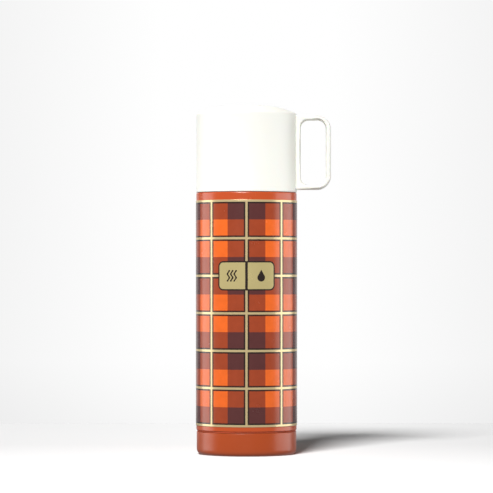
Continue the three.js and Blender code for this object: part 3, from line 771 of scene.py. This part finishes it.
def bar_section(thick, half, small, small_deep, large, large_deep):
    """Points round a bar's section, across from 0 to thick and along from -half to half. Its first
    side bulges by small over small_deep at each end, and its second by large over large_deep."""
    corners = (
        (small, small_deep - half, small, small_deep, 180),
        (thick - large, large_deep - half, large, large_deep, 270),
        (thick - large, half - large_deep, large, large_deep, 0),
        (small, half - small_deep, small, small_deep, 90),
    )
    section = []
    for u, v, width, height, start in corners:
        section += arc(u, v, width, start, start + 90, 8, height)
    return section


def handle():
    """A ring whose bars bulge inwards and outwards, and run into the cup's wall."""
    (_, near, low), (right, far, high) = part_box("cup_handle")
    wall, half = radius("cup_shell"), (far - near) / 2
    inner_bar, low_bar, outer_bar, top_bar = 2.9 * MM, 3.7 * MM, 3.7 * MM, 3.2 * MM
    blend = 3 * MM  # length over which a bar loses its bulge towards the wall
    sunk = 0.5 * MM  # how far the ring reaches into the wall
    outer = frame_path(wall - 2 * MM, low + 0.4 * MM, right, high, 10 * MM, 0.3 * MM)
    inner = frame_path(
        wall + inner_bar, low + low_bar, right - outer_bar, high - top_bar, 6.2 * MM, 6.2 * MM,
    )
    vertices, faces = [], []
    for a, b in zip(inner, outer):
        thick = (b - a).length
        free = min(max((b.x - wall) / blend, 0), 1)
        aside = max((b - a).x / thick, 0)
        hole_bulge, outer_bulge = (1.5 - 1.2 * aside) * MM, (0.3 + 1.2 * free) * MM
        section = bar_section(thick, half, hole_bulge, 4.5 * MM, outer_bulge, (1 + 5 * free) * MM)
        for u, v in section:
            p = a.lerp(b, u / thick)
            vertices.append((max(p.x, math.sqrt(wall ** 2 - v ** 2) - sunk), v, p.y))
    n, count = len(section), len(inner)
    for i in range(count):
        j = (i + 1) % count
        for k in range(n):
            m = (k + 1) % n
            faces.append((i * n + k, i * n + m, j * n + m, j * n + k))
    stands_for(new_object("cup_ring_handle", vertices, faces, IVORY), "cup_handle")


# ---- Collar and stopper -------------------------------------------------------------


def collar():
    r, low, high = radius("collar"), bottom("collar"), top("collar")
    deck = high - 5.5 * MM
    neck, bore, spout, well = r - 3.75 * MM, r - 5.75 * MM, 24.6 * MM, 22.6 * MM
    hole, ledge = 16.6 * MM, high - 9.4 * MM
    under_ledge, under_deck = ledge - 1.8 * MM, deck - 2 * MM
    profile = outline(
        (r, low, 0.2), (r, low + 1.2 * MM, 0.2), (neck, low + 1.2 * MM, 0.3), (neck, deck, 0.9),
        (spout, deck, 0.5), (spout, high, 0.9), (well, high, 0.5), (well, ledge, 0.4),
        (hole, ledge, 0.4), (hole, under_ledge, 0.4), (spout, under_ledge, 0.3),
        (spout, under_deck, 0.3), (bore, under_deck, 0.3), (bore, low, 0.2),
    )
    stands_for(turned("collar_moulding", profile, IVORY, ring=True), "collar")
    z = top("case_tube") + 1.9 * MM
    goes_with(screw_ridge("collar_thread", IVORY, neck, 1, z, CUP_LEAD, 0, 1.2), "collar")
    z = top("stopper_seal") - 0.7 * MM
    goes_with(screw_ridge("spout_thread", IVORY, well, -1, z, LEAD, 0.1, 1.2), "collar")


def stopper():
    low, high, seal = bottom("stopper_body"), top("stopper_body"), top("stopper_seal")
    plug, wall, threaded = 13.2 * MM, 1.8 * MM, 21.2 * MM
    well, bowl, step, floor = plug - wall, threaded - wall, seal + 0.3 * MM, low + wall
    profile = outline(
        (0, low, 0), (plug, low, 1.3), (plug, step, 0.4), (threaded, step, 0.4), (threaded, high, 0.3),
        (bowl, high, 0.3), (bowl, step + wall, 0.5), (well, step + wall, 0.4), (well, floor, 0.6),
        (0, floor, 0),
    )
    stands_for(turned("stopper_plug", profile, RED), "stopper_body")
    z = seal + 1.3 * MM
    goes_with(screw_ridge("stopper_thread", RED, threaded, 1, z, LEAD, 0, 1.1), "stopper_body")


def stopper_grip():
    """A round cap with twelve finger flutes and a shallow dish in its top."""
    r, low, high = radius("stopper_grip"), bottom("stopper_grip"), top("stopper_grip")
    inside, crown, dish = 19.4 * MM, high - 3 * MM, high - 0.7 * MM

    def flute(here, angle):
        share = min(1.0, max(0.0, (here - inside) / (r - inside)))
        return here - 0.9 * MM * share * (1 - math.cos(12 * angle)) / 2

    profile = outline(
        (0, dish, 0), (15.5 * MM, dish, 1.5), (17.5 * MM, high, 1.5), (r, high, 1.6),
        (r, low, 0.4), (inside, low, 0.3), (inside, crown, 0.8), (0, crown, 0), steps=6,
    )
    stands_for(turned("stopper_cap", profile, RED, facets=288, shape=flute), "stopper_grip")


def stopper_foam():
    r, low, high = radius("stopper_foam_core"), bottom("stopper_foam_core"), top("stopper_foam_core")
    narrow, step = 11.1 * MM, top("stopper_seal") + 2.4 * MM
    profile = outline((0, low, 0), (narrow, low, 0.4), (narrow, step, 0.3), (r, step, 0.4),
                      (r, high, 0.4), (0, high, 0))
    stands_for(turned("foam_core", profile, FOAM, facets=ROUND_SMALL), "stopper_foam_core")


# ---- Studio -------------------------------------------------------------------------


CAMERA_LENS = 211.8  # in millimetres, on a sensor 36 wide
CAMERA_DISTANCE = 2.148
CAMERA_HEIGHT = 0.133
CAMERA_SHIFT = 0.0562  # upwards, as a share of the picture's width
LIGHT_AIM = 0.13  # height on the flask that every light points at


def camera():
    data = bpy.data.cameras.new("camera")
    data.lens = CAMERA_LENS
    data.sensor_width = 36
    data.shift_y = CAMERA_SHIFT
    obj = bpy.data.objects.new("camera", data)
    obj.location = (0, -CAMERA_DISTANCE, CAMERA_HEIGHT)
    obj.rotation_euler = (math.radians(90), 0, 0)
    bpy.context.scene.collection.objects.link(obj)
    bpy.context.scene.camera = obj


def area_light(name, azimuth, distance, height, size, power):
    """A softbox aimed at the flask. Azimuth 0 is towards the camera and 90 to the right."""
    data = bpy.data.lights.new(name, "AREA")
    data.shape = "RECTANGLE"
    data.size, data.size_y = size
    data.energy = power
    obj = bpy.data.objects.new(name, data)
    turn = math.radians(azimuth)
    obj.location = (distance * math.sin(turn), -distance * math.cos(turn), height)
    gaze = Vector((0, 0, LIGHT_AIM)) - obj.location
    obj.rotation_euler = gaze.to_track_quat("-Z", "Y").to_euler()
    obj.visible_camera = False
    bpy.context.scene.collection.objects.link(obj)
    return obj


def stage():
    """A pale floor whose colour is painted darker towards its sides, as painted shade, and painted paler
    towards the back, where the lamp's light grows weaker, so that it ends as pale as the air behind it.
    """
    half, front, back = 0.3, -0.7, 0.44
    corners = [(-half, front, 0), (half, front, 0), (half, back, 0), (-half, back, 0)]
    n = Surface("studio_paper")
    n.shader.inputs["Roughness"].default_value = 1.0
    n.shader.inputs["Specular IOR Level"].default_value = 0.0
    x, y, _ = n.split(n.object_point())
    # painted shade: the floor is coloured darker towards its sides
    aside = n.remap(n.math("ABSOLUTE", x), 0.04, 0.2, 1.0, 0.92)
    # painted light: the floor is coloured paler towards the back, standing in for the lamp's light there
    painted_floor_light = n.math("MULTIPLY", aside, n.remap(y, 0.12, 0.42, 0.8, 0.97))
    n.link(n.join(painted_floor_light, painted_floor_light, painted_floor_light), n.shader.inputs["Base Color"])
    floor = new_object("studio_floor", corners, [(0, 1, 2, 3)], n.material)
    floor.visible_diffuse = floor.visible_glossy = False  # the paper throws no light on the flask


def link_light(light, state):
    """INCLUDE lights only the floor, and EXCLUDE lights everything but the floor."""
    receivers = bpy.data.collections.new(light.name + "_receivers")
    receivers.objects.link(bpy.data.objects["studio_floor"])
    receivers.collection_objects[0].light_linking.link_state = state
    light.light_linking.receiver_collection = receivers


def background(n, strength):
    node = n.add("ShaderNodeBackground")
    node.inputs["Color"].default_value = (1, 1, 1, 1)
    n.link(strength, node.inputs["Strength"])
    return node.outputs[0]


def pale_air():
    """A world that looks nearly white and lights the flask only a little, mostly from below. Where the
    camera sees it, it is painted a little darker towards the sides and down towards the horizon, as
    painted shade.
    """
    world = bpy.data.worlds.new("studio")
    n = Nodes(world)
    x, _, z = n.split(n.add("ShaderNodeTexCoord").outputs["Generated"])
    # painted shade: the air seen by the camera darkens towards the sides and down towards the horizon
    aside = n.remap(n.math("ABSOLUTE", x), 0.03, 0.09, 1.0, 0.9)
    painted_horizon_shade = n.remap(z, -0.052, -0.03, 0.94, 1.0)
    pale = background(n, n.math("MULTIPLY", aside, painted_horizon_shade))
    dim = background(n, n.remap(z, -0.4, 0.1, 0.38, 0.12))
    seen = n.add("ShaderNodeMixShader")
    n.link(n.add("ShaderNodeLightPath").outputs["Is Camera Ray"], seen.inputs[0])
    n.link(dim, seen.inputs[1])
    n.link(pale, seen.inputs[2])
    n.link(seen.outputs[0], n.add("ShaderNodeOutputWorld").inputs["Surface"])
    bpy.context.scene.world = world


def lights():
    # Each light's name is followed by its azimuth, distance, height, size and power
    link_light(area_light("floor_key", -16.5, 1.9, 1.88, (0.8, 0.6), 118), "INCLUDE")
    for light in (
        area_light("flask_key", -14, 1.9, 1.5, (0.9, 0.25), 55),
        area_light("rear_softbox", 205, 0.75, 1.05, (0.5, 0.4), 7),
        area_light("rear_panel", 180, 1.0, 0.25, (1.5, 0.6), 1.6),
        area_light("left_softbox", -100, 0.9, 0.2, (0.6, 0.8), 3.4),
        area_light("right_softbox", 96, 0.9, 0.2, (0.9, 0.8), 4.8),
    ):
        link_light(light, "EXCLUDE")


finish_cad_nodes()
case()
case_base_ring()
base()
soft_ring("seam_ring", "base_seal_ring", 2.25 * MM, 0.1)
base_cushion()
glass_outer()
glass_inner()
tip_cap()
sleeve()
soft_ring("shoulder_packing", "shoulder_pad", 8 * MM, 0.8)
soft_ring("neck_washer", "neck_seal", 5 * MM)
cup()
cup_lining()
handle()
collar()
soft_ring("collar_washer", "collar_seal", 1.4 * MM, 0.2)
stopper()
stopper_grip()
stopper_foam()
soft_ring("stopper_washer", "stopper_seal", 6.5 * MM)
stage()
pale_air()
lights()
camera()
bpy.context.scene.view_settings.view_transform = "Standard"
